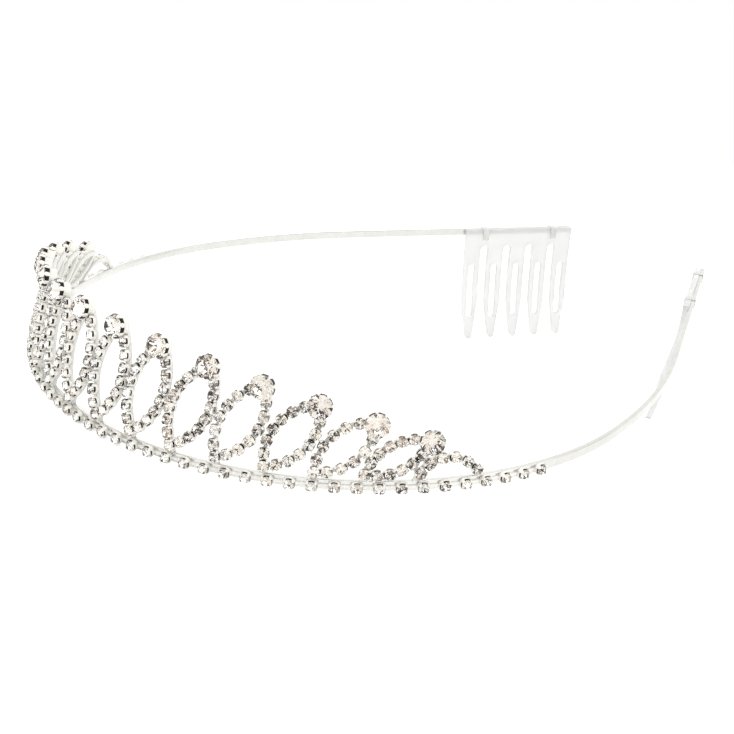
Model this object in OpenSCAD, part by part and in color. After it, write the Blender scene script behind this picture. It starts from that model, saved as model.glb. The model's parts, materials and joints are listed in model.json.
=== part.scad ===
// Bridal tiara, in millimetres.
// A U-shaped band of flat silver wire carries a row of claw-set stones, a fence of leaf-shaped
// spikes made of cup chain with a large stone on each tip, and a clear slotted comb in each end.
// The tiara is drawn with its band flat, then tipped so that it stands on the middle of its
// bottom row and on its comb teeth. The wearer looks along -Y, and the wearer's left is +X.

/* [Band] */
// Radius of the round front, to the middle of the wire
front_radius = 63; // [61:1:66]
// Turn of the round front on each side of the centre, in degrees
front_turn = 98; // [95:1:101]
// Radius of the flatter curve behind the round front
side_radius = 124; // [110:1:140]
// Turn of the flatter curve, in degrees
side_turn = 18; // [15:1:21]
// Length of each straight tail
tail_length = 66; // [60:1:72]
// Height of the flat wire
band_height = 1.8; // [1.6:0.1:2]
// Thickness of the flat wire
band_thickness = 0.9; // [0.8:0.05:1.1]

/* [Stones] */
// Diameter of a small stone
stone_d = 1.78; // [1.7:0.02:1.8]
// Diameter of the large stone on a spike's tip
tip_stone_d = 3.9; // [3.6:0.1:4.2]
// Spacing of the stones in the bottom row
row_pitch = 3.46; // [3.4:0.02:3.6]
// Stones in the bottom row on each side of the middle one
row_side_count = 25; // [23:1:26]

/* [Spikes] */
// Spikes on each side of the centre spike
side_spikes = 7; // [6:1:7]
// Spacing of the first feet along the band
foot_pitch = 8.4; // [8.3:0.05:8.6]
// How much the feet are gathered towards the ends, times the square of the spike's number
foot_gather = 0.05; // [0.03:0.01:0.06]
// Spacing of the first tips along the band
tip_pitch = 10.5; // [10.4:0.05:10.7]
// How much the tips are gathered towards the ends, times the square of the spike's number
tip_gather = 0.14; // [0.13:0.01:0.15]
// Length of the centre spike, from the band's top edge to the middle of its large stone
tip_height = 17.2; // [16.8:0.1:17.6]
// Drop of the tips towards the ends, times the square of the spike's number
tip_drop = 0.22; // [0.21:0.01:0.22]
// Lean of the spikes in over the head, in degrees
lean = 16; // [12:1:18]
// Width of the flat wire behind the stones
wire_width = 0.8; // [0.7:0.05:1]
// Thickness of the flat wire behind the stones
wire_thickness = 0.7; // [0.6:0.05:0.8]

/* [Combs] */
// Teeth on each comb
comb_teeth = 5; // [5:1:6]
// Spacing of the teeth
tooth_pitch = 7; // [6.8:0.1:7.2]
// Width of a tooth at its root
tooth_width = 4.6; // [4.4:0.1:4.8]
// Height of the comb from spine to tips
comb_height = 31.8; // [30:0.2:34]
// Height of the comb's solid spine
spine_height = 4.8; // [4.4:0.1:5.4]
// Thickness of the clear plastic
comb_thickness = 1.4; // [1.2:0.1:1.6]
// Radius of the comb's curve in towards the head
comb_radius = 140; // [120:5:160]

/* [Hidden] */
$fn = 48;
silver = [0.82, 0.82, 0.83];
bright_silver = [0.88, 0.88, 0.9];
crystal = [0.93, 0.95, 0.97];
clear_plastic = [0.85, 0.88, 0.9, 0.5];

// The band's path: the distance along it from the front centre is s, positive on the left.
band_top = band_height / 2;
front_reach = front_radius * front_turn * PI / 180;
side_reach = front_reach + side_radius * side_turn * PI / 180;
half_length = side_reach + tail_length;
end_angle = front_turn + side_turn;
tail_lap = 0.02;

// Proportions of a cut stone, as shares of its diameter.
crown_share = 0.2;
girdle_share = 0.05;
pavilion_share = 0.42;
table_share = 0.55;

// The cup around a stone, its claws, and the bar between two cups.
cup_wall = 0.1;
cup_floor = 0.15;
rim_share = 0.72;
stone_room = 0.02;
claw_rise = 0.3;
claw_reach = 0.1;
claw_turn = 26;
cup_claws = 4;
cup_r = cup_radius(stone_d, cup_wall);
cup_gap = 0.01;
cup_step = 2 * cup_r + cup_gap;
link_width = 0.45;
link_depth = 0.3;

// A tip setting flares out over the cups beside it from a narrow stem.
tip_wall = 0.15;
tip_claws = 8;
tip_claw_thickness = 0.12;
stem_share = 0.78;
stem_r = stem_share * tip_stone_d / 2;
stem_height = cup_height(stone_d) + 0.02;
flare_height = 0.88;
tip_lift = stem_height + flare_height - girdle_bottom(tip_stone_d);

// The spikes: height of a foot stone over the band, and the room around the cups. The room between two
// leaves is below zero because unequal neighbours stand a little further apart than equal ones would.
foot_room = 0.06;
foot_rise = 2 * cup_r - band_top + foot_room;
leaf_room = -0.09;
stem_room = 0.06;
pair_slack = 4;
squeeze = 0.2;
foot_tab = 1.1;
spikes = [-side_spikes : side_spikes];

// The arch that closes the fence at each end.
arch_span = 9.4;
arch_rise = 2.3;
arch_from_foot = 13.42;
arch_mid = foot_s(side_spikes) + arch_from_foot;
arch_radius = (pow(arch_span / 2, 2) + pow(arch_rise, 2)) / (2 * arch_rise);
arch_half_turn = asin(arch_span / 2 / arch_radius);
arch_cups = 1 + floor(2 * arch_radius * arch_half_turn * PI / 180 / cup_step);

// The combs: taper and slot of a tooth, and the clips that hold the comb to the band.
comb_width = (comb_teeth - 1) * tooth_pitch + tooth_width;
comb_mid = half_length - comb_width / 2;
tooth_tip_r = 1;
taper_start = 0.67 * comb_height;
slot_width = 2;
slot_top = 0.32 * comb_height;
slot_bottom = 0.81 * comb_height;
clip_width = 1.8;
clip_metal = 0.18;
clip_room = 0.1;
clip_depth = 3;
clip_offset = 1.5 * tooth_pitch;

// The stance: the middle cup of the bottom row and the foremost comb tooth touch the ground.
comb_sag = comb_radius - sqrt(pow(comb_radius - comb_thickness, 2) - pow(comb_height, 2));
comb_inset = band_thickness / 2 + comb_sag;
front_touch = [-band_thickness / 2 - cup_wall_top(stone_d), -cup_r];
first_tooth = band_point(comb_mid - (comb_teeth - 1) / 2 * tooth_pitch);
rear_touch = [first_tooth[1] + comb_inset * cos(end_angle), band_top - comb_height];
stance = atan2(front_touch[1] - rear_touch[1], rear_touch[0] - front_touch[0]);
lift = -front_touch[0] * sin(stance) - front_touch[1] * cos(stance);
tip_face = wire_thickness / 2 + tip_lift + stone_height(tip_stone_d);
tip_front = [
    tip_height * sin(lean) - tip_face * cos(lean),
    band_top + tip_height * cos(lean) + tip_face * sin(lean)
];
frontmost = tip_front[0] * cos(stance) - tip_front[1] * sin(stance);
rearmost = max([for (t = [0 : 0.1 : 1]) taper_back(t)]);

function side_name(i) = i > 0 ? "left" : "right";
function spike_name(i) = i == 0 ? "center" : str(side_name(i), "_", abs(i));

// Point and heading of the band's middle line at distance s from the front centre.
function arc_point(radius, angle) = radius * [sin(angle), 1 - cos(angle)];
function turned(p, angle) =
    [p[0] * cos(angle) - p[1] * sin(angle), p[0] * sin(angle) + p[1] * cos(angle)];
function half_angle(d) =
    d < front_reach ? d / front_radius * 180 / PI :
    d < side_reach ? front_turn + (d - front_reach) / side_radius * 180 / PI :
    end_angle;
function front_end() = arc_point(front_radius, front_turn);
function side_point(angle) = front_end() + turned(arc_point(side_radius, angle), front_turn);
function half_point(d) =
    d < front_reach ? arc_point(front_radius, half_angle(d)) :
    d < side_reach ? side_point(half_angle(d) - front_turn) :
    side_point(side_turn) + (d - side_reach) * [cos(end_angle), sin(end_angle)];
function band_angle(s) = sign(s) * half_angle(abs(s));
function band_point(s) = [sign(s) * half_point(abs(s))[0], half_point(abs(s))[1]];

// Heights of a stone of diameter d above the back of its cup.
function culet(d) = cup_floor + stone_room;
function girdle_bottom(d) = culet(d) + pavilion_share * d;
function girdle_top(d) = girdle_bottom(d) + girdle_share * d;
function cup_radius(d, wall) = d / 2 + stone_room + wall;
function stone_height(d) = girdle_top(d) + crown_share * d;
function cup_wall_top(d) = rim_share * girdle_bottom(d);
function claw_hook(d) = girdle_top(d) + claw_rise * crown_share * d;
function cup_height(d) = claw_hook(d) + 2 * cup_wall;

// Shape of spike i on the band's unrolled face: x along the band, y up from the band's top edge.
function foot_s(i) = sign(i) * (foot_pitch * abs(i) - foot_gather * i * i);
function tip_s(i) = sign(i) * (tip_pitch * abs(i) - tip_gather * i * i);
function middle_s(i) = (foot_s(i) + tip_s(i)) / 2;
function foot(i) = [foot_s(i) - middle_s(i), foot_rise];
function tip(i) = [tip_s(i) - middle_s(i), tip_height - tip_drop * i * i];
function leaf_length(i) = norm(tip(i) - foot(i));
function leaf_tilt(i) = atan2(tip(i)[0] - foot(i)[0], tip(i)[1] - foot(i)[1]);
function leaf_pitch(i) = (foot_pitch + tip_pitch) / 2 - (foot_gather + tip_gather) * abs(i);
// Share of the band's radius that is left at half a leaf's height, where the lean has brought it in.
function lean_share(i) = 1 - sin(lean) * (foot(i)[1] + tip(i)[1]) / 2 / front_radius;
// Offset of two neighbouring leaves across and along them, seen in a spike's own tilt.
function leaf_offset(i) =
    turned([leaf_pitch(i) * lean_share(i), -tip_drop * abs(i)], abs(leaf_tilt(i)));
// Bulge of a strand that just touches the nearest strand of a leaf of the same shape at that offset.
function bulge(i) =
    let (
        offset = leaf_offset(i),
        gap = 2 * (cup_r + leaf_room),
        span = pow(leaf_length(i), 2),
        b = span + gap * gap - offset * offset
    )
    (sqrt(b * b + 4 * span * (offset[0] * offset[0] - gap * gap)) - b) / (4 * (offset[0] + gap));
function strand_radius(i) = (pow(leaf_length(i) / 2, 2) + pow(bulge(i), 2)) / (2 * bulge(i));
function strand_half_turn(i) = asin(leaf_length(i) / 2 / strand_radius(i));
// Distance from an end of the leaf at which its two strands are a cup apart.
function pair_reach(i) = cup_r / sin(strand_half_turn(i) - pair_slack);

// Stones of a strand, from the foot up: side is 1 for the left strand and -1 for the right one.
function strand_point(i, side, angle) =
    foot(i) + turned(
        [
            side * (strand_radius(i) * (cos(angle) - 1) + bulge(i)),
            strand_radius(i) * sin(angle) + leaf_length(i) / 2
        ],
        -leaf_tilt(i)
    );
function degrees_along(i, distance) = distance / strand_radius(i) * 180 / PI;
function first_angle(i) = -strand_half_turn(i) + degrees_along(i, max(cup_step, pair_reach(i)));
function last_angle(i) =
    strand_half_turn(i) - degrees_along(i, max(stem_r + cup_r + stem_room, pair_reach(i)));
function strand_steps(i) = (last_angle(i) - first_angle(i)) / degrees_along(i, cup_step);
function strand_count(i) = 1 + floor(strand_steps(i) + squeeze);
function strand_angle(i, k) =
    first_angle(i) + k * (last_angle(i) - first_angle(i)) / (strand_count(i) - 1);
function strand(i, side) =
    [for (k = [0 : strand_count(i) - 1]) strand_point(i, side, strand_angle(i, k))];
function arch_point(k) =
    let (angle = arch_half_turn * (2 * k / (arch_cups - 1) - 1))
    [arch_radius * sin(angle), foot_rise + arch_rise - arch_radius * (1 - cos(angle))];
function arch() = [for (k = [0 : arch_cups - 1]) arch_point(k)];

// How far back the tapered edge of the last tooth reaches at share t of the taper, once tipped.
function comb_face(depth) = band_thickness / 2 + comb_radius - sqrt(pow(comb_radius, 2) - pow(depth, 2));
function taper_back(t) =
    let (
        depth = taper_start + t * (comb_height - tooth_tip_r - taper_start),
        end = band_point(half_length - t * (tooth_width / 2 - tooth_tip_r))
    )
    (end[1] + comb_face(depth) * cos(end_angle)) * cos(stance) - (band_top - depth) * sin(stance);

// Tips the whole tiara from its flat band onto the ground.
module stand() {
    translate([0, -(frontmost + rearmost) / 2, lift])
        rotate([stance, 0, 0])
            children();
}

// Puts a shape on the band at s: x runs along the band, y up and z outwards.
module on_band(s, height = 0, lean_in = 0) {
    p = band_point(s);
    translate([p[0], p[1], height])
        rotate([0, 0, band_angle(s)])
            rotate([90 - lean_in, 0, 0])
                children();
}

module on_spike(i) {
    on_band(middle_s(i), band_top, lean)
        children();
}

// Keeps what is above the band's top edge, so that a wire's foot is soldered flat onto it.
module above_band() {
    reach = 2 * front_radius;
    difference() {
        children();
        translate([-reach, -reach, band_top - reach])
            cube([2 * reach, 2 * reach, reach]);
    }
}

// Flat strip along an arc about the z axis, from one heading to another.
module arc_strip(radius, from, to) {
    rotate([0, 0, from - 90])
        rotate_extrude(angle = to - from, $fn = 180)
            translate([radius - band_thickness / 2, -band_top])
                square([band_thickness, band_height]);
}

// Claws bent over a stone of diameter d, whose cup's back is on z = 0 and whose face is along z.
module claws(d, wall, thickness, claws) {
    outer = cup_radius(d, wall);
    inner = outer - thickness;
    root = cup_wall_top(d) - wall / 2;
    bend = girdle_top(d);
    hook = claw_hook(d);
    hook_r = outer - wall - claw_reach * d;
    for (k = [0 : claws - 1])
        rotate([0, 0, (k + 0.5) * 360 / claws - claw_turn * 2 / claws])
            rotate_extrude(angle = claw_turn * 4 / claws)
                polygon([
                    [inner, root], [outer, root], [outer, bend],
                    [hook_r + wall, hook + 2 * wall], [hook_r, hook + wall], [inner, bend]
                ]);
}

// A cup with claws for a small stone.
module cup() {
    rim = cup_wall_top(stone_d);
    inner = cup_r - cup_wall;
    rotate_extrude()
        polygon([[0, 0], [cup_r, 0], [cup_r, rim], [inner, rim], [inner, cup_floor], [0, cup_floor]]);
    claws(stone_d, cup_wall, cup_wall, cup_claws);
}

// A setting with a stem, a flared cup and claws for a large stone.
module tip_setting() {
    outer = cup_radius(tip_stone_d, tip_wall);
    rim = tip_lift + cup_wall_top(tip_stone_d);
    rotate_extrude()
        polygon([
            [0, 0], [stem_r, 0], [stem_r, stem_height], [outer, rim - 2 * tip_wall], [outer, rim],
            [outer - tip_wall, rim], [outer - tip_wall, rim - tip_wall],
            [stem_r - tip_wall, stem_height + tip_wall], [stem_r - tip_wall, cup_floor], [0, cup_floor]
        ]);
    translate([0, 0, tip_lift])
        claws(tip_stone_d, tip_wall, tip_claw_thickness, tip_claws);
}

// A round cut stone of diameter d, seated in a cup whose back is on z = 0.
module stone(d) {
    rotate_extrude()
        polygon([
            [0, culet(d)],
            [d / 2, girdle_bottom(d)],
            [d / 2, girdle_top(d)],
            [table_share * d / 2, stone_height(d)],
            [0, stone_height(d)]
        ]);
}

// Small bar that joins two neighbouring cups, from point a to point b.
module link(a, b) {
    along = b - a;
    bar = norm(along) - 2 * cup_r + 3 * cup_wall;
    translate([(a[0] + b[0]) / 2, (a[1] + b[1]) / 2, link_depth / 2])
        rotate([0, 0, atan2(along[1], along[0])])
            cube([bar, link_width, link_depth], center = true);
}

// Direction of a chain of points at its point k.
function heading(points, k) =
    let (along = points[min(k + 1, len(points) - 1)] - points[max(k - 1, 0)])
    atan2(along[1], along[0]);

module cups_at(points) {
    for (k = [0 : len(points) - 1])
        translate([points[k][0], points[k][1], 0])
            rotate([0, 0, heading(points, k)])
                cup();
}

module stones_at(points) {
    for (p = points)
        translate([p[0], p[1], 0])
            stone(stone_d);
}

module links_along(points) {
    for (k = [1 : len(points) - 1])
        link(points[k - 1], points[k]);
}

// Raises a chain from the band's middle line to the front of the wire behind it.
module on_wire() {
    translate([0, 0, wire_thickness / 2])
        children();
}

// Overlap of two discs: the leaf outline between two strands of the given radius.
module leaf(i, radius) {
    inset = strand_radius(i) - bulge(i);
    intersection() {
        translate([-inset, leaf_length(i) / 2])
            circle(radius, $fn = 96);
        translate([inset, leaf_length(i) / 2])
            circle(radius, $fn = 96);
    }
}

module headband() {
    color(silver)
        stand() {
            translate([0, front_radius, 0])
                arc_strip(front_radius, -front_turn, front_turn);
            for (side = [0, 1])
                mirror([side, 0, 0]) {
                    translate([front_end()[0], front_end()[1], 0])
                        rotate([0, 0, front_turn])
                            translate([0, side_radius, 0])
                                arc_strip(side_radius, 0, side_turn);
                    on_band(half_length - tail_length / 2)
                        translate([-tail_lap / 2, 0, 0])
                            cube([tail_length + tail_lap, band_height, band_thickness], center = true);
                }
        }
}

module row_chain() {
    color(bright_silver)
        stand()
            for (k = [-row_side_count : row_side_count]) {
                on_band(k * row_pitch)
                    translate([0, 0, band_thickness / 2])
                        cup();
                if (k < row_side_count)
                    on_band((k + 0.5) * row_pitch)
                        translate([0, 0, band_thickness / 2])
                            link([-row_pitch / 2, 0], [row_pitch / 2, 0]);
            }
}

module row_stones() {
    color(crystal)
        stand()
            for (k = [-row_side_count : row_side_count])
                on_band(k * row_pitch)
                    translate([0, 0, band_thickness / 2])
                        stone(stone_d);
}

module spike_wire(i) {
    color(silver)
        stand()
            above_band()
                on_spike(i)
                    linear_extrude(wire_thickness, center = true) {
                        translate(foot(i))
                            rotate(-leaf_tilt(i))
                                difference() {
                                    leaf(i, strand_radius(i) + wire_width / 2);
                                    leaf(i, strand_radius(i) - wire_width / 2);
                                }
                        translate([foot(i)[0] - foot_tab / 2, -wire_thickness])
                            square([foot_tab, foot_rise + wire_thickness]);
                    }
}

module spike_chain(i) {
    color(bright_silver)
        stand()
            on_spike(i)
                on_wire() {
                    cups_at([foot(i)]);
                    for (side = [1, -1]) {
                        cups_at(strand(i, side));
                        links_along(concat([foot(i)], strand(i, side)));
                    }
                }
}

module spike_stones(i) {
    color(crystal)
        stand()
            on_spike(i)
                on_wire() {
                    stones_at([foot(i)]);
                    for (side = [1, -1])
                        stones_at(strand(i, side));
                }
}

module tip_settings() {
    color(bright_silver)
        stand()
            for (i = spikes)
                on_spike(i)
                    on_wire()
                        translate([tip(i)[0], tip(i)[1], 0])
                            tip_setting();
}

module tip_stones() {
    color(crystal)
        stand()
            for (i = spikes)
                on_spike(i)
                    on_wire()
                        translate([tip(i)[0], tip(i)[1], tip_lift])
                            stone(tip_stone_d);
}

module arch_wire(side) {
    color(silver)
        stand()
            above_band()
                on_band(side * arch_mid, band_top, lean)
                    linear_extrude(wire_thickness, center = true)
                        intersection() {
                            translate([0, foot_rise + arch_rise - arch_radius])
                                difference() {
                                    circle(arch_radius + wire_width / 2, $fn = 96);
                                    circle(arch_radius - wire_width / 2, $fn = 96);
                                }
                            translate([-arch_span, -wire_thickness])
                                square([2 * arch_span, 2 * arch_span]);
                        }
}

module arch_chain(side) {
    color(bright_silver)
        stand()
            on_band(side * arch_mid, band_top, lean)
                on_wire() {
                    cups_at(arch());
                    links_along(arch());
                }
}

module arch_stones(side) {
    color(crystal)
        stand()
            on_band(side * arch_mid, band_top, lean)
                on_wire()
                    stones_at(arch());
}

// Slot through a tooth, with round ends.
module tooth_slot() {
    r = slot_width / 2;
    for (y = [slot_top + r, slot_bottom - r])
        translate([0, -y])
            circle(r);
    translate([-r, r - slot_bottom])
        square([slot_width, slot_bottom - slot_top - slot_width]);
}

// Gap between two teeth: round at the top, widening from where the teeth taper.
module tooth_gap() {
    r = (tooth_pitch - tooth_width) / 2;
    wide = tooth_pitch / 2 - tooth_tip_r;
    translate([0, -spine_height - r])
        circle(r);
    polygon([
        [-r, -spine_height - r], [r, -spine_height - r], [r, -taper_start],
        [wide, tooth_tip_r - comb_height], [-wide, tooth_tip_r - comb_height], [-r, -taper_start]
    ]);
}

module comb_outline() {
    last = (comb_teeth - 1) / 2 * tooth_pitch;
    difference() {
        translate([-comb_width / 2, tooth_tip_r - comb_height])
            square([comb_width, comb_height - tooth_tip_r]);
        for (k = [0 : comb_teeth])
            translate([(k - comb_teeth / 2) * tooth_pitch, 0])
                tooth_gap();
        for (x = [-last : tooth_pitch : last])
            translate([x, 0])
                tooth_slot();
    }
    for (x = [-last : tooth_pitch : last])
        translate([x, tooth_tip_r - comb_height])
            circle(tooth_tip_r);
}

// Round shell that the comb is cut from, with its axis along x.
module comb_shell() {
    rotate([0, 90, 0])
        difference() {
            cylinder(h = 2 * comb_width, r = comb_radius, center = true, $fn = 180);
            cylinder(h = 3 * comb_width, r = comb_radius - comb_thickness, center = true, $fn = 180);
        }
}

module comb(side) {
    color(clear_plastic)
        stand()
            on_band(side * comb_mid, band_top)
                translate([0, 0, -band_thickness / 2])
                    intersection() {
                        translate([0, 0, -comb_radius / 2])
                            linear_extrude(comb_radius)
                                comb_outline();
                        translate([0, 0, -comb_radius])
                            comb_shell();
                    }
}

// Strip of sheet metal bent over the band and the comb's spine, as a section across the band.
module clip_section() {
    front = band_thickness / 2;
    back = -front - comb_thickness - clip_room;
    over = band_top + clip_metal;
    hook = band_top - clip_depth;
    polygon([
        [front, -band_top], [front, band_top], [back, band_top], [back, hook],
        [back - clip_metal, hook], [back - clip_metal, over], [front + clip_metal, over],
        [front + clip_metal, -over], [clip_room - front, -over], [clip_room - front, -band_top]
    ]);
}

module comb_clips(side) {
    color(silver)
        stand()
            for (x = [-clip_offset, clip_offset])
                on_band(side * comb_mid + x)
                    rotate([0, -90, 0])
                        linear_extrude(clip_width, center = true)
                            clip_section();
}

headband();
row_chain();
row_stones();
for (i = spikes) {
    spike_wire(i);
    spike_chain(i);
    spike_stones(i);
}
tip_settings();
tip_stones();
for (side = [1, -1]) {
    arch_wire(side);
    arch_chain(side);
    arch_stones(side);
    comb(side);
    comb_clips(side);
}
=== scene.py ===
"""Looks of a bridal tiara: cut stones in claw settings, silver-plated wire and clear combs."""

import json
import math

import bmesh
import bpy
import numpy as np
from mathutils import Matrix, Vector


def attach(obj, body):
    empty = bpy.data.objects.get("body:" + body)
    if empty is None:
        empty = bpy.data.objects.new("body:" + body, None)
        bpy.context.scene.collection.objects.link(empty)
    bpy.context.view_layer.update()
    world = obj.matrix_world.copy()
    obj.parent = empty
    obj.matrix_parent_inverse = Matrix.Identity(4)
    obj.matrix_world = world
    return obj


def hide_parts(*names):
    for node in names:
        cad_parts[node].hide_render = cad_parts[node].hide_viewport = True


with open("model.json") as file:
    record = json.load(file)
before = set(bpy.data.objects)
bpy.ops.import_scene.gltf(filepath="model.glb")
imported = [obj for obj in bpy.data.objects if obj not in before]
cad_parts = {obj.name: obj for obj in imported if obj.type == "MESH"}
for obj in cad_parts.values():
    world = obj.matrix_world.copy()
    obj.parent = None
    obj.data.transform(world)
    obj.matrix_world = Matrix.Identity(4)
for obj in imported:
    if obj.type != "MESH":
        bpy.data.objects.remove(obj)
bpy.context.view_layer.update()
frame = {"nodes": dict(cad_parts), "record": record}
nodes = frame["nodes"]
rng = np.random.default_rng(seed=7)

MM = 0.001
# Points closer than this are one point
MERGE = 0.002 * MM
SIDES = ("left", "right")
SPIKES_PER_SIDE = 7
SPIKES = ["center"] + [f"{side}_{k}" for side in SIDES for k in range(1, SPIKES_PER_SIDE + 1)]

# The camera, fitted to the photograph, in the frame of the band: angles in degrees, then metres
CAMERA_AZIMUTH = 46.455
CAMERA_ELEVATION = 24.494
CAMERA_ROLL = 3.8
CAMERA_TARGET = Vector((0, 0.04325, 0))
CAMERA_DISTANCE = 0.200358
CAMERA_ASIDE = -0.018815
CAMERA_ABOVE = 0.003276
CAMERA_NEAR = 0.005
# Its lens, in pixels of the photograph's square frame
FOCAL_PIXELS = 1000
PHOTO_PIXELS = 734
SENSOR_MM = 36

# The stage: a floor, a light tent and one broad lamp
FLOOR_REACH = 6
FLOOR_COLOUR = (0.96, 0.96, 0.96, 1)
FLOOR_GLOW = (0.4, 0.4, 0.4, 1)
TENT_STRENGTH = 1.45
TENT_GAP_SCALE = 2.4
LAMP_TOWARDS = Vector((-0.1, 0.3, -1.1))
LAMP_STRENGTH = 0.7
LAMP_ANGLE = math.radians(60)

# Colours, in linear light
WHITE = (1, 1, 1)
TENT_MIDDLE = (1, 0.99, 0.97)
TENT_END = (0.84, 0.835, 0.815)
TENT_ROOF = (0.7, 0.7, 0.69)
TENT_GAP = (0.02, 0.018, 0.016)
BAND_PALE = (0.67, 0.67, 0.655)
BAND_DULL = (0.63, 0.63, 0.615)
# The band's front, brightened with painted light
BAND_FRONT_PAINTED_LIGHT = (0.72, 0.72, 0.705)
WIRE_PALE = (0.74, 0.74, 0.725)
WIRE_DULL = (0.7, 0.695, 0.675)
# The cups' metal: pale to dull at random, and duller where a little painted shade lies behind the cup
CUP_PALE = (0.82, 0.81, 0.775)
CUP_DULL = (0.75, 0.73, 0.69)
# Painted shade on the cups: dark brown, then near black where it is deepest
PAINTED_SHADE_SOFT = (0.12, 0.09, 0.07)
PAINTED_SHADE_DEEP = (0.02, 0.015, 0.012)
GLASS_WARM = (1.0, 0.97, 0.95)
GLASS_COOL = (0.95, 0.96, 1.0)
PLASTIC_DULL = (0.8, 0.81, 0.81)
PLASTIC_PALE = (0.83, 0.84, 0.84)
# Colours of the foil by the tone of a facet: the darker tones are painted reflections
FOIL_AND_REFLECTION_COLOURS = (
    (0.0, (0.02, 0.016, 0.014)),
    (0.09, (0.04, 0.032, 0.028)),
    (0.11, (0.36, 0.29, 0.24)),
    (0.2, (0.79, 0.745, 0.69)),
    (0.4, (0.88, 0.86, 0.83)),
    (1.0, (0.93, 0.915, 0.885)),
)
# Places along y, in metres, between which the painted light on the band's front fades out
PAINTED_LIGHT_FADE = (-0.045, -0.03)

# The band's thickness, needed to find its own frame from the mount on its inside
BAND_THICKNESS = 0.9 * MM

# A cut stone, in shares of its radius, with its culet at the origin
TABLE_RADIUS = 0.55
STAR_RADIUS = 0.8
LOWER_RADIUS = 0.32
CROWN_HEIGHT = 0.4
GIRDLE_HEIGHT = 0.1
PAVILION_HEIGHT = 0.84
SMALL_SIDES = 6
TIP_SIDES = 8
# Foiled facets on each side of a stone, the last of them at the culet
FOILED_PER_SIDE = 3
STONE_TILT = math.radians(2.5)
# Tones of a large stone, painted reflections: its middle lies between two of them, and a power darkens the
# facets round it
MIDDLE_TONES = (0.19, 0.6)
LARGE_POWER = 1.6

# Sections of the settings in shares of the stone's radius, from the back's middle round the rim and in:
# (radius and height in a gap, radius and height at a claw, half width of the claw, painted shade).
# Widths are in halves of the claws' spacing. The seat under the stone, painted dark as shade, shows between
# the claws.
SMALL_CUP = (
    (0.0, -0.191, 0.0, -0.191, 0.3, 0.1),
    (1.08, -0.191, 1.08, -0.191, 0.3, 0.1),
    (1.12, -0.16, 1.12, -0.16, 0.3, 0.1),
    (1.04, -0.14, 1.04, -0.14, 0.3, 0.2),
    (1.04, 0.1, 1.06, 0.1, 0.4, 0.2),
    (1.14, 0.13, 1.2, 0.13, 0.4, 0.1),
    (1.13, 0.3, 1.24, 0.35, 0.4, 0.0),
    (1.13, 0.42, 1.27, 0.8, 0.42, 0.0),
    (1.11, 0.48, 1.22, 1.02, 0.36, 0.0),
    (1.08, 0.5, 1.1, 1.15, 0.28, 0.0),
    (1.045, 0.5, 0.93, 1.18, 0.22, 0.1),
    (1.02, 0.49, 0.92, 1.12, 0.22, 0.8),
    (0.99, 0.82, 1.0, 0.96, 0.26, 1.0),
    (0.96, 0.8, 0.96, 0.8, 0.26, 1.0),
    (0.93, -0.022, 0.93, -0.022, 0.26, 1.0),
    (0.0, -0.022, 0.0, -0.022, 0.26, 1.0),
)
# The same columns for a tip's setting: its seat and inside are painted dark as shade
TIP_CUP = (
    (0.0, -0.294, 0.0, -0.294, 0.25, 0.1),
    (0.75, -0.294, 0.75, -0.294, 0.25, 0.1),
    (0.78, -0.26, 0.78, -0.26, 0.25, 0.1),
    (0.78, 0.38, 0.78, 0.38, 0.25, 0.1),
    (0.82, 0.42, 0.82, 0.42, 0.25, 0.1),
    (1.0, 0.43, 1.06, 0.44, 0.25, 0.05),
    (1.02, 0.44, 1.095, 0.5, 0.3, 0.0),
    (1.02, 0.45, 1.1, 0.84, 0.5, 0.0),
    (1.015, 0.46, 1.08, 0.96, 0.36, 0.0),
    (1.01, 0.465, 1.0, 1.05, 0.26, 0.0),
    (1.0, 0.465, 0.93, 1.06, 0.2, 0.1),
    (0.99, 0.47, 0.94, 1.01, 0.2, 0.9),
    (0.985, 0.82, 1.005, 0.95, 0.4, 1.0),
    (0.965, 0.8, 0.965, 0.8, 0.25, 1.0),
    (0.94, 0.52, 0.94, 0.52, 0.25, 1.0),
    (0.7, 0.45, 0.7, 0.45, 0.25, 1.0),
    (0.7, -0.2, 0.7, -0.2, 0.25, 1.0),
    (0.0, -0.2, 0.0, -0.2, 0.25, 1.0),
)
CUP_CLAWS = 4
TIP_CLAWS = 8
# Places across a gap, and across a claw in shares of its half width with how much of the claw is there
GAP_STEPS = (0.38, 0.7, 1.0, 1.3, 1.62)
CLAW_STEPS = ((-1.0, 0.85), (-0.4, 1.0), (0.4, 1.0), (1.0, 0.85))
# The painted shade on the rim where two cups meet: how dark it is where they touch or stand apart,
# its sharpness, and the height where the rim starts
CROWDED = 0.9
APART = 0.0
CROWD_POWER = 6
RIM_HEIGHT = 0.47

# The small bars between the cups of the row, with a chamfer in shares of their depth
LINK_WIDTH = 0.45 * MM
LINK_DEPTH = 0.3 * MM
LINK_CHAMFER = 0.25
# From the culet of a small stone to the back of its cup
CUP_BACK = 0.17 * MM

# Rounded edges of the carried-over wire and plastic
WIRE_ROUND = 0.12 * MM
BAND_ROUND = 0.2 * MM
COMB_ROUND = 0.3 * MM
CLIP_ROUND = 0.06 * MM
ROUND_SEGMENTS = 3
SHARP = math.radians(40)


def mount(name):
    """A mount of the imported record."""
    return next(m for m in frame["record"]["mounts"] if m["name"] == name)


def band_frame():
    """Matrix from the band's own frame, flat and with its origin at the front centre, to the row frame."""
    head = mount("head_clamp")
    front_radius = head["dims"]["r_mm"] * MM + BAND_THICKNESS / 2
    stance = math.atan2(head["axis"][1], -head["axis"][2])
    return (
        Matrix.Translation(head["pos_m"])
        @ Matrix.Rotation(stance, 4, "X")
        @ Matrix.Translation((0, -front_radius, 0))
    )


# Materials


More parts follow.
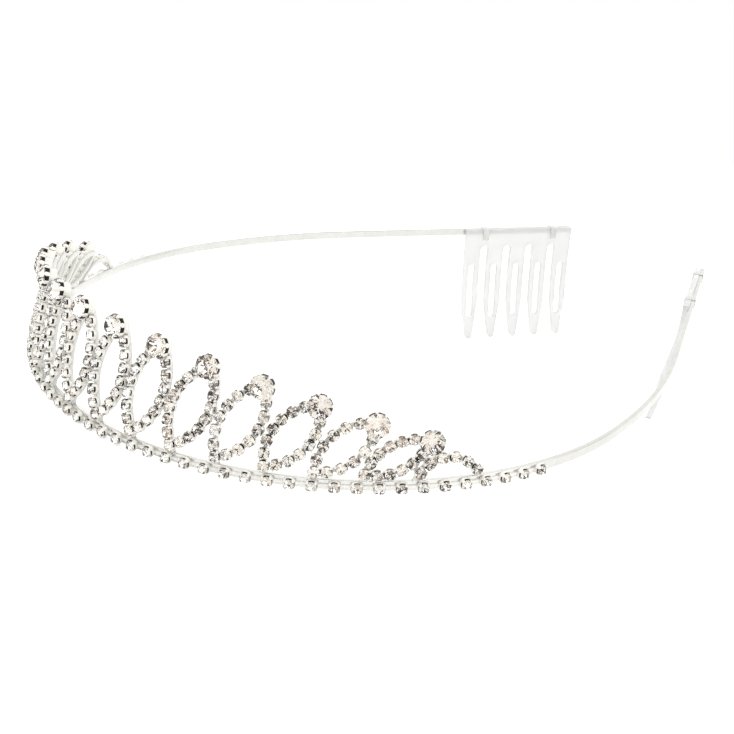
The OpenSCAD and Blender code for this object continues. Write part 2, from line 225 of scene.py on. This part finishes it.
class Nodes:
    """Short ways to add nodes to a tree, with places in one space."""

    def __init__(self, tree, space):
        self.tree = tree
        self.space = space

    def add(self, kind, *sources, **settings):
        """A node with its settings, and with sources linked to its first sockets."""
        node = self.tree.nodes.new("ShaderNode" + kind)
        for key, value in settings.items():
            if hasattr(node, key):
                setattr(node, key, value)
            else:
                node.inputs[key.replace("_", " ")].default_value = value
        for source, socket in zip(sources, node.inputs):
            self.tree.links.new(source, socket)
        return node

    def place(self):
        return self.add("TexCoord").outputs[self.space]

    def noise(self, scale, detail, roughness=0.5):
        node = self.add("TexNoise", self.place(), Scale=scale, Detail=detail, Roughness=roughness)
        return node.outputs["Fac"]

    def attribute(self, name):
        return self.add("Attribute", attribute_name=name).outputs["Fac"]

    def total(self, one, other):
        return self.add("Math", one, other, operation="ADD").outputs["Value"]

    def product(self, one, other):
        """The product of two colours."""
        return self.add("VectorMath", one, other, operation="MULTIPLY").outputs["Vector"]

    def spread(self, value, within, to):
        """A value within one range, taken to another."""
        node = self.add(
            "MapRange", value, From_Min=within[0], From_Max=within[1], To_Min=to[0], To_Max=to[1]
        )
        return node.outputs["Result"]

    def ramp(self, value, *stops):
        """A colour ramp with the given (place, colour) stops."""
        node = self.add("ValToRGB", value)
        elements = node.color_ramp.elements
        while len(elements) < len(stops):
            elements.new(0.5)
        for element, (place, colour) in zip(elements, stops):
            element.position = place
            element.color = (*colour, 1)
        return node.outputs["Color"]

    def bump(self, height, strength, distance):
        node = self.add("Bump", Strength=strength, Distance=distance)
        self.tree.links.new(height, node.inputs["Height"])
        return node.outputs["Normal"]


class Finish(Nodes):
    """A material: its Principled shader with some constants, and nodes that drive other sockets of it."""

    def __init__(self, name, constants):
        self.material = bpy.data.materials.new(name)
        self.material.use_nodes = True
        super().__init__(self.material.node_tree, "Object")
        self.shader = self.tree.nodes["Principled BSDF"]
        for socket, value in constants.items():
            self.shader.inputs[socket].default_value = value

    def drive(self, socket, source):
        self.tree.links.new(source, self.shader.inputs[socket])


def plated(name, dull, pale, rough, metallic, front=None):
    """Silver plating: cloudy tone and fine grain, with painted light brightening the front if a colour for
    it is given.
    """
    finish = Finish(name, {"Metallic": metallic})
    cloud = finish.noise(scale=420, detail=3, roughness=0.6)
    if front:
        # Painted light: the band gets brighter towards its front
        depth = finish.add("SeparateXYZ", finish.place()).outputs["Y"]
        cloud = finish.total(cloud, finish.spread(depth, PAINTED_LIGHT_FADE, to=(0.5, 0)))
    finish.drive("Base Color", finish.ramp(cloud, (0.35, dull), (0.62, pale), (1.0, front or pale)))
    grain = finish.noise(scale=2600, detail=2)
    finish.drive("Roughness", finish.spread(grain, (0.3, 0.7), to=(0.8 * rough, 1.2 * rough)))
    finish.drive("Normal", finish.bump(grain, strength=0.04, distance=0.02 * MM))
    return finish.material


def cup_metal():
    """Bright stamped metal, with painted shade round the stone's seat and where the rims of two cups meet.
    """
    finish = Finish("cup_metal", {"Specular IOR Level": 0.1})
    shade = finish.attribute("shade")
    # Painted shade also takes the shine off the metal, so that it stays dark
    finish.drive("Metallic", finish.spread(shade, (0.5, 0.75), to=(0.3, 0)))
    cloud = finish.noise(scale=1500, detail=2)
    shade_and_mottle = finish.total(shade, finish.spread(cloud, (0, 1), to=(0, 0.3)))
    finish.drive("Base Color", finish.ramp(
        shade_and_mottle, (0.1, CUP_PALE), (0.55, CUP_DULL), (0.66, PAINTED_SHADE_SOFT), (1.0, PAINTED_SHADE_DEEP),
    ))
    finish.drive("Roughness", finish.spread(cloud, (0.3, 0.7), to=(0.15, 0.35)))
    return finish.material


def crystal():
    """Clear cut glass with a faint change of tint from stone to stone and hardly visible smears."""
    finish = Finish("crystal", {"Transmission Weight": 1, "IOR": 1.55})
    cloud = finish.noise(scale=260, detail=1)
    finish.drive("Base Color", finish.ramp(cloud, (0.35, GLASS_WARM), (0.5, WHITE), (0.65, GLASS_COOL)))
    smear = finish.noise(scale=1800, detail=2)
    finish.drive("Roughness", finish.spread(smear, (0.45, 0.8), to=(0, 0.02)))
    return finish.material


def foil():
    """Mirror foil behind the glass, with a tone of its own on each facet: its darker tones are painted
    reflections.
    """
    finish = Finish("foil", {"Metallic": 1})
    finish.drive("Base Color", finish.ramp(finish.attribute("tone"), *FOIL_AND_REFLECTION_COLOURS))
    grain = finish.noise(scale=3000, detail=1)
    finish.drive("Roughness", finish.spread(grain, (0.4, 0.8), to=(0.01, 0.05)))
    return finish.material


def clear_plastic():
    """Slightly milky moulded plastic with faint flow lines."""
    finish = Finish("clear_plastic", {"Transmission Weight": 0.45, "IOR": 1.25})
    cloud = finish.noise(scale=160, detail=2)
    finish.drive("Base Color", finish.ramp(cloud, (0.3, PLASTIC_DULL), (0.7, PLASTIC_PALE)))
    flow = finish.noise(scale=300, detail=2)
    finish.drive("Roughness", finish.spread(flow, (0.3, 0.7), to=(0.32, 0.42)))
    finish.drive("Normal", finish.bump(flow, strength=0.03, distance=0.05 * MM))
    return finish.material


# Where the stones are


class Site:
    """A stone's place: its culet, its radius, and axes, z along the stone and x towards a neighbour."""

    def __init__(self, points):
        middle = points.mean(0)
        axis = np.linalg.svd(points - middle)[2][2]
        reach = np.linalg.norm(np.cross(points - middle, axis), axis=1)
        self.culet = points[reach.argmin()]
        self.axis = axis * np.sign((middle - self.culet) @ axis)
        self.radius = reach.max()

    def aim(self, along):
        """Turns the x axis towards a direction."""
        x = along - (along @ self.axis) * self.axis
        x /= np.linalg.norm(x)
        self.axes = np.array([x, np.cross(self.axis, x), self.axis])

    def placed(self, points, turn=0.0, tilt=(0.0, 0.0)):
        """Points in shares of the radius, turned about the stone's axis, tilted and moved to this place."""
        tilted = Matrix.Rotation(tilt[0], 3, "X") @ Matrix.Rotation(tilt[1], 3, "Y")
        turned = np.array(tilted @ Matrix.Rotation(turn, 3, "Z"))
        return self.culet + self.radius * (points @ turned.T @ self.axes)


def islands(node):
    """Points of each separate solid in a node's mesh."""
    mesh = bmesh.new()
    mesh.from_mesh(nodes[node].data)
    bmesh.ops.remove_doubles(mesh, verts=mesh.verts, dist=MERGE)
    mesh.verts.index_update()
    seen = [False] * len(mesh.verts)
    found = []
    for start in mesh.verts:
        if seen[start.index]:
            continue
        seen[start.index] = True
        group = [start]
        for vertex in group:
            for edge in vertex.link_edges:
                other = edge.other_vert(vertex)
                if not seen[other.index]:
                    seen[other.index] = True
                    group.append(other)
        found.append(np.array([v.co for v in group]))
    mesh.free()
    return found


def stone_sites(node):
    """The stones of a node, each aimed at its nearest neighbour."""
    sites = [Site(points) for points in islands(node)]
    places = np.array([site.culet for site in sites])
    for k, site in enumerate(sites):
        away = places - site.culet
        distance = np.linalg.norm(away, axis=1)
        distance[k] = np.inf
        site.aim(away[distance.argmin()])
    return sites


# Shapes


def circle(count, radius, height, turn=0.0):
    """Points round the z axis at a height."""
    angles = turn + np.arange(count) * 2 * math.pi / count
    return np.column_stack([radius * np.cos(angles), radius * np.sin(angles), np.full(count, height)])


def cut_stone(sides):
    """A brilliant-cut stone of radius 1: its points, its faces, and whether each face is foiled."""
    half = math.pi / sides
    slant = math.cos(half)
    girdle_top = PAVILION_HEIGHT + GIRDLE_HEIGHT
    table_height = girdle_top + CROWN_HEIGHT
    star_drop = (STAR_RADIUS * slant - TABLE_RADIUS) / (1 - TABLE_RADIUS)
    rings = [
        circle(sides, TABLE_RADIUS, table_height),
        circle(sides, STAR_RADIUS, table_height - CROWN_HEIGHT * star_drop, half),
        circle(2 * sides, 1, girdle_top),
        circle(2 * sides, 1, PAVILION_HEIGHT),
        circle(sides, LOWER_RADIUS, PAVILION_HEIGHT * LOWER_RADIUS * slant, half),
        np.zeros((1, 3)),
    ]
    starts = np.cumsum([0] + [len(ring) for ring in rings])

    def corners(ring):
        return lambda k: int(starts[ring] + k % len(rings[ring]))

    table, star, upper, lower, mid, culet = map(corners, range(len(rings)))
    clear = [[table(k) for k in range(sides)]]
    foiled = []
    for k in range(sides):
        a, b, c = 2 * k, 2 * k + 1, 2 * k + 2
        clear += [
            [table(k), star(k), table(k + 1)],
            [table(k), star(k - 1), upper(a), star(k)],
            [star(k), upper(a), upper(b)],
            [star(k), upper(b), upper(c)],
            [lower(a), lower(b), upper(b), upper(a)],
            [lower(b), lower(c), upper(c), upper(b)],
        ]
        foiled += [
            [mid(k), lower(b), lower(a)],
            [mid(k), lower(c), lower(b)],
            [culet(0), mid(k), lower(a), mid(k - 1)],
        ]
    return np.vstack(rings), clear + foiled, [0] * len(clear) + [1] * len(foiled)


def setting(section, claws, crowding):
    """A claw setting for a stone of radius 1: its points, its faces, and the painted shade of each point.
    Its x axis points through a gap at a neighbour, and crowding is how dark the painted shade on the rim is
    there."""
    half = math.pi / claws
    points, shades = [], []
    for gap_r, gap_z, claw_r, claw_z, width, shade in section:
        # Painted shade on the rim, darkest where it faces the neighbour
        rim = crowding if gap_z > RIM_HEIGHT else 0.0
        steps = [(width * step, claw) for step, claw in CLAW_STEPS] + [(step, 0.0) for step in GAP_STEPS]
        for k in range(claws):
            for step, claw in steps:
                angle = half * (2 * k + 1 + step)
                r = gap_r + (claw_r - gap_r) * claw
                z = gap_z + (claw_z - gap_z) * claw
                points.append((r * math.cos(angle), r * math.sin(angle), z))
                shades.append(max(shade, rim * max(math.cos(angle), 0) ** CROWD_POWER))
    count = claws * (len(CLAW_STEPS) + len(GAP_STEPS))
    faces = []
    for ring in range(len(section) - 1):
        for k in range(count):
            a, b = ring * count + k, ring * count + (k + 1) % count
            faces.append([a, b, b + count, a + count])
    return np.array(points), faces, shades


def bar(start, end, out):
    """A small bar with chamfered edges along a line, standing out from its back: its points and faces."""
    along = (end - start) / np.linalg.norm(end - start)
    across = np.cross(out, along)
    half = LINK_WIDTH / 2
    chamfer = LINK_CHAMFER * LINK_DEPTH
    shoulder = LINK_DEPTH - chamfer
    outline = [
        (-half, 0), (half, 0), (half, shoulder), (half - chamfer, LINK_DEPTH),
        (chamfer - half, LINK_DEPTH), (-half, shoulder),
    ]
    count = len(outline)
    points = np.array([tip + x * across + y * out for tip in (start, end) for x, y in outline])
    faces = [[k, (k + 1) % count, count + (k + 1) % count, count + k] for k in range(count)]
    return points, faces + [list(range(count))[::-1], list(range(count, 2 * count))]


def row_links(sites):
    """The lines of the bars between neighbours in the row, on the backs of the cups, and where is out."""
    centre = np.array(mount("head_clamp")["pos_m"])
    order = sorted(sites, key=lambda s: math.atan2(s.culet[0] - centre[0], centre[1] - s.culet[1]))
    links = []
    for a, b in zip(order, order[1:]):
        out = (a.axis + b.axis) / np.linalg.norm(a.axis + b.axis)
        links.append((a.culet - CUP_BACK * a.axis, b.culet - CUP_BACK * b.axis, out))
    return links


# Pieces


class Builder:
    """Gathers the shapes of one piece, with a value for each point or each face, and makes its object."""

    def __init__(self):
        self.points, self.faces, self.values, self.slots = [], [], [], []
        self.count = 0

    def add(self, points, faces, values, slots=None):
        """Adds a shape, with a material slot for each face, or the first for all."""
        self.points.append(points)
        self.faces += [[self.count + v for v in face] for face in faces]
        self.values += list(values)
        self.slots += slots or [0] * len(faces)
        self.count += len(points)

    def make(self, name, node, materials, attribute, domain, smooth):
        """The piece that replaces a node, with the values as an attribute of its mesh."""
        mesh = bpy.data.meshes.new(name)
        mesh.from_pydata(np.vstack(self.points).tolist(), [], self.faces)
        for material in materials:
            mesh.materials.append(material)
        mesh.polygons.foreach_set("material_index", self.slots)
        mesh.attributes.new(attribute, "FLOAT", domain).data.foreach_set("value", self.values)
        if smooth:
            welded = bmesh.new()
            welded.from_mesh(mesh)
            bmesh.ops.remove_doubles(welded, verts=welded.verts, dist=MERGE / 10)
            welded.to_mesh(mesh)
            welded.free()
            mesh.shade_smooth()
            mesh.set_sharp_from_angle(angle=SHARP)
        mesh.update()
        piece = bpy.data.objects.new(name, mesh)
        bpy.context.scene.collection.objects.link(piece)
        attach(piece, "root")
        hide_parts(node)


def set_stones(name, node, sites, sides, large=False):
    """Cut stones at the sites, each turned and tilted a little in its setting, with a random tone on each
    facet whose darker values are painted reflections. A large stone has an even middle and more dark facets
    round it."""
    points, faces, slots = cut_stone(sides)
    middle = slice(-1, None, -FOILED_PER_SIDE)
    build = Builder()
    for site in sites:
        turn = rng.uniform(0, 2 * math.pi)
        tilt = rng.uniform(-STONE_TILT, STONE_TILT, 2)
        # A random tone for each facet: the darker tones are painted reflections
        tones = rng.random(len(faces))
        if large:
            even = np.interp(tones[middle], (0, 1), MIDDLE_TONES)
            tones **= LARGE_POWER
            tones[middle] = even
        build.add(site.placed(points, turn, tilt), faces, tones, slots)
    build.make(name, node, [glass_look, foil_look], "tone", "FACE", smooth=False)


def set_cups(name, node, sites, section, claws, crowding, links=()):
    """Settings at the sites, and the bars that join them."""
    points, faces, shades = setting(section, claws, crowding)
    build = Builder()
    for site in sites:
        build.add(site.placed(points), faces, shades)
    for link in links:
        bar_points, bar_faces = bar(*link)
        build.add(bar_points, bar_faces, np.zeros(len(bar_points)))
    build.make(name, node, [cup_look], "shade", "POINT", smooth=True)


def round_edges(node, width, material):
    """Keeps a node's solid, with rounded edges and a better finish."""
    piece = nodes[node]
    piece.data.materials.clear()
    piece.data.materials.append(material)
    weld = piece.modifiers.new("weld", "WELD")
    weld.merge_threshold = MERGE
    bevel = piece.modifiers.new("round", "BEVEL")
    bevel.width = width
    bevel.segments = ROUND_SEGMENTS
    bevel.limit_method = "ANGLE"
    bevel.angle_limit = SHARP


# The stage


def add_floor():
    """A white floor. It glows for the camera alone, which drowns faint shadows and spares reflections."""
    corners = [(x * FLOOR_REACH, y * FLOOR_REACH, 0) for x, y in ((-1, -1), (1, -1), (1, 1), (-1, 1))]
    mesh = bpy.data.meshes.new("floor")
    mesh.from_pydata(corners, [], [(0, 1, 2, 3)])
    finish = Finish("floor", {
        "Base Color": FLOOR_COLOUR,
        "Roughness": 0.9,
        "Specular IOR Level": 0.1,
        "Emission Color": FLOOR_GLOW,
    })
    finish.drive("Emission Strength", finish.add("LightPath").outputs["Is Camera Ray"])
    mesh.materials.append(finish.material)
    floor = bpy.data.objects.new("floor", mesh)
    bpy.context.scene.collection.objects.link(floor)


def add_world():
    """A white light tent, duller at its roof and its two ends, with a few small gaps that make the stones
    sparkle. The camera sees plain white."""
    world = bpy.data.worlds.new("studio")
    bpy.context.scene.world = world
    world.use_nodes = True
    world.node_tree.nodes.clear()
    tent = Nodes(world.node_tree, "Generated")
    split = tent.add("SeparateXYZ", tent.place())
    along = tent.add("Math", split.outputs["Y"], operation="ABSOLUTE").outputs["Value"]
    ends = tent.ramp(along, (0.38, TENT_MIDDLE), (0.6, TENT_END))
    roof = tent.ramp(split.outputs["Z"], (0.75, WHITE), (0.95, TENT_ROOF))
    gaps = tent.ramp(tent.noise(TENT_GAP_SCALE, detail=1), (0.32, TENT_GAP), (0.37, WHITE))
    cloth = tent.product(tent.product(ends, roof), gaps)
    lights = tent.add("Background", cloth, Strength=TENT_STRENGTH).outputs["Background"]
    backdrop = tent.add("Background", Color=(*WHITE, 1)).outputs["Background"]
    seen = tent.add("LightPath").outputs["Is Camera Ray"]
    tent.add("OutputWorld", tent.add("MixShader", seen, lights, backdrop).outputs["Shader"])


def add_lamp():
    """A broad soft light from far away, without a highlight of its own."""
    light = bpy.data.lights.new("softbox", "SUN")
    light.energy = LAMP_STRENGTH
    light.angle = LAMP_ANGLE
    lamp = bpy.data.objects.new("softbox", light)
    lamp.visible_glossy = False
    lamp.rotation_mode = "QUATERNION"
    lamp.rotation_quaternion = LAMP_TOWARDS.to_track_quat("-Z", "Y")
    bpy.context.scene.collection.objects.link(lamp)


def add_camera():
    """The photograph's camera, placed in the frame of the band."""
    azimuth, elevation, roll = (
        math.radians(angle) for angle in (CAMERA_AZIMUTH, CAMERA_ELEVATION, CAMERA_ROLL)
    )
    ahead = Vector((-math.sin(azimuth), math.cos(azimuth), 0))
    height = Vector((0, 0, 1))
    forward = ahead * math.cos(elevation) - height * math.sin(elevation)
    level_up = ahead * math.sin(elevation) + height * math.cos(elevation)
    level_right = forward.cross(level_up)
    right = level_right * math.cos(roll) + level_up * math.sin(roll)
    up = level_up * math.cos(roll) - level_right * math.sin(roll)
    eye = CAMERA_TARGET - right * CAMERA_ASIDE - up * CAMERA_ABOVE - forward * CAMERA_DISTANCE
    turn = Matrix((right, up, -forward)).transposed().to_4x4()
    lens = bpy.data.cameras.new("camera")
    lens.sensor_width = SENSOR_MM
    lens.lens = SENSOR_MM * FOCAL_PIXELS / PHOTO_PIXELS
    lens.clip_start = CAMERA_NEAR
    camera = bpy.data.objects.new("camera", lens)
    camera.matrix_world = band_frame() @ Matrix.Translation(eye) @ turn
    bpy.context.scene.collection.objects.link(camera)
    bpy.context.scene.camera = camera


add_camera()
add_world()
add_floor()
add_lamp()
bpy.context.scene.view_settings.view_transform = "Standard"

band_look = plated("band_plating", BAND_DULL, BAND_PALE, rough=0.24, metallic=1.0, front=BAND_FRONT_PAINTED_LIGHT)
wire_look = plated("wire_plating", WIRE_DULL, WIRE_PALE, rough=0.5, metallic=0.3)
cup_look = cup_metal()
glass_look = crystal()
foil_look = foil()
comb_look = clear_plastic()

round_edges("headband", BAND_ROUND, band_look)
for spike in SPIKES:
    round_edges(f"spike_wire_{spike}", WIRE_ROUND, wire_look)
for side in SIDES:
    round_edges(f"arch_wire_{side}", WIRE_ROUND, wire_look)
    round_edges(f"comb_{side}", COMB_ROUND, comb_look)
    round_edges(f"comb_clips_{side}", CLIP_ROUND, band_look)

sites = stone_sites("row_stones")
set_cups("row_cups", "row_chain", sites, SMALL_CUP, CUP_CLAWS, APART, row_links(sites))
set_stones("row_crystals", "row_stones", sites, SMALL_SIDES)
for wire, key in [("spike", spike) for spike in SPIKES] + [("arch", side) for side in SIDES]:
    sites = stone_sites(f"{wire}_stones_{key}")
    set_cups(f"{wire}_cups_{key}", f"{wire}_chain_{key}", sites, SMALL_CUP, CUP_CLAWS, CROWDED)
    set_stones(f"{wire}_crystals_{key}", f"{wire}_stones_{key}", sites, SMALL_SIDES)
sites = stone_sites("tip_stones")
set_cups("tip_claw_settings", "tip_settings", sites, TIP_CUP, TIP_CLAWS, APART)
set_stones("tip_crystals", "tip_stones", sites, TIP_SIDES, large=True)
